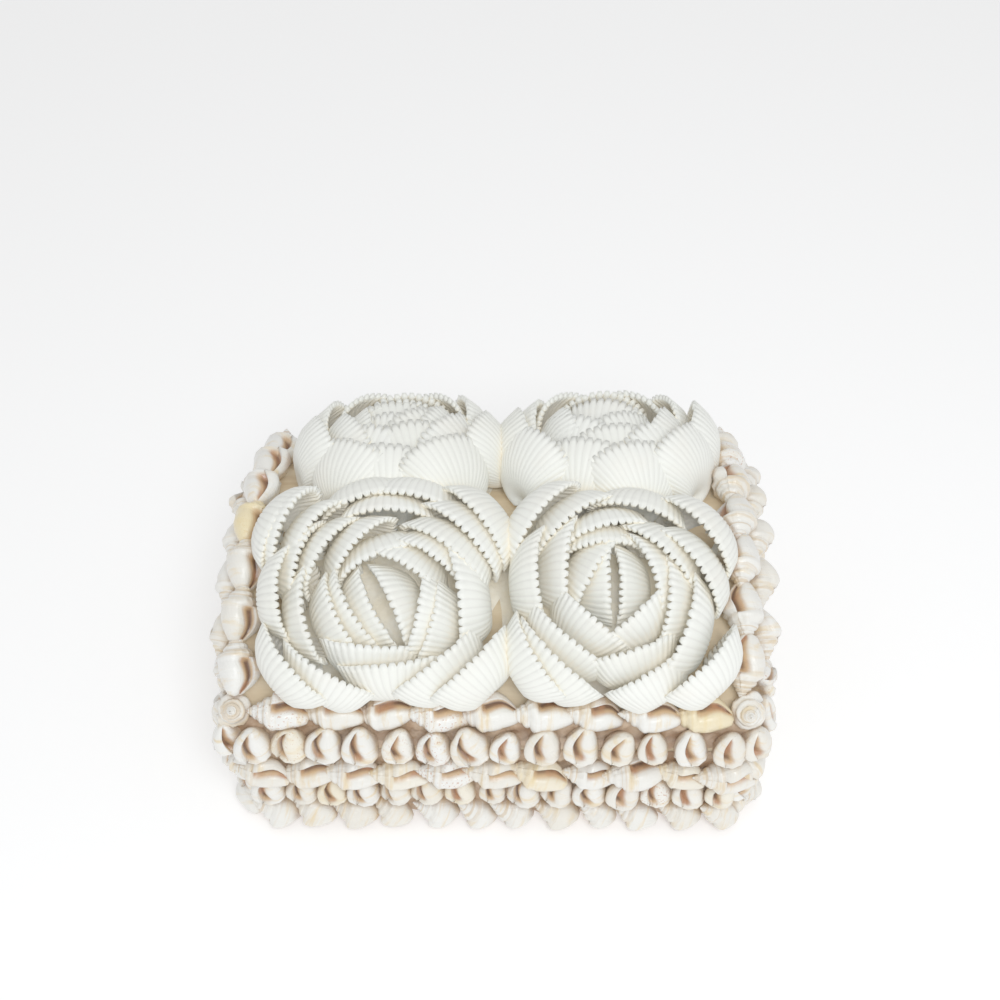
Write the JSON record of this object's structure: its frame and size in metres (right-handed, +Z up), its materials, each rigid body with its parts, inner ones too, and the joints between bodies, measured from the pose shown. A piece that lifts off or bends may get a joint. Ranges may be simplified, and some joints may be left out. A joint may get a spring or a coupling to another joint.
{
  "type": "shell trinket box",
  "caption": "Chest-shaped trinket box with a lift-off barrel lid, covered in rows of small whelk shells, with roses of cockle valves on the lid.",
  "frame": {"origin": "centre of the tray's underside, on the surface it stands on", "axes": "+Z up, +X to the right along the long side seen from the front, front of the box at -Y"},
  "size_m": [0.16, 0.124, 0.0934],
  "materials": {
    "board": "thin board with a glue-stained tan paper face",
    "whelk_shell": "glossy porcelain-like shell, cream with tan and brown stains",
    "cockle_shell": "ribbed white shell, half matt"
  },
  "bodies": {
    "root": {"tray": "board", "lid": "board", "lid_skirt_row_front": "whelk_shell", "lid_skirt_row_back": "whelk_shell", "lid_skirt_row_left": "whelk_shell", "lid_skirt_row_right": "whelk_shell", "tray_top_row_front": "whelk_shell", "tray_top_row_back": "whelk_shell", "tray_top_row_left": "whelk_shell", "tray_top_row_right": "whelk_shell", "tray_middle_row_front": "whelk_shell", "tray_middle_row_back": "whelk_shell", "tray_middle_row_left": "whelk_shell", "tray_middle_row_right": "whelk_shell", "tray_foot_row_front": "whelk_shell", "tray_foot_row_back": "whelk_shell", "tray_foot_row_left": "whelk_shell", "tray_foot_row_right": "whelk_shell", "lid_border_row_front": "whelk_shell", "lid_border_row_back": "whelk_shell", "lid_border_column_left": "whelk_shell", "lid_border_column_right": "whelk_shell", "lid_gable_shells_left": "whelk_shell", "lid_gable_shells_right": "whelk_shell", "rose_front_left": "cockle_shell", "rose_front_right": "cockle_shell", "rose_back_left": "cockle_shell", "rose_back_right": "cockle_shell"}
  },
  "joints": []
}
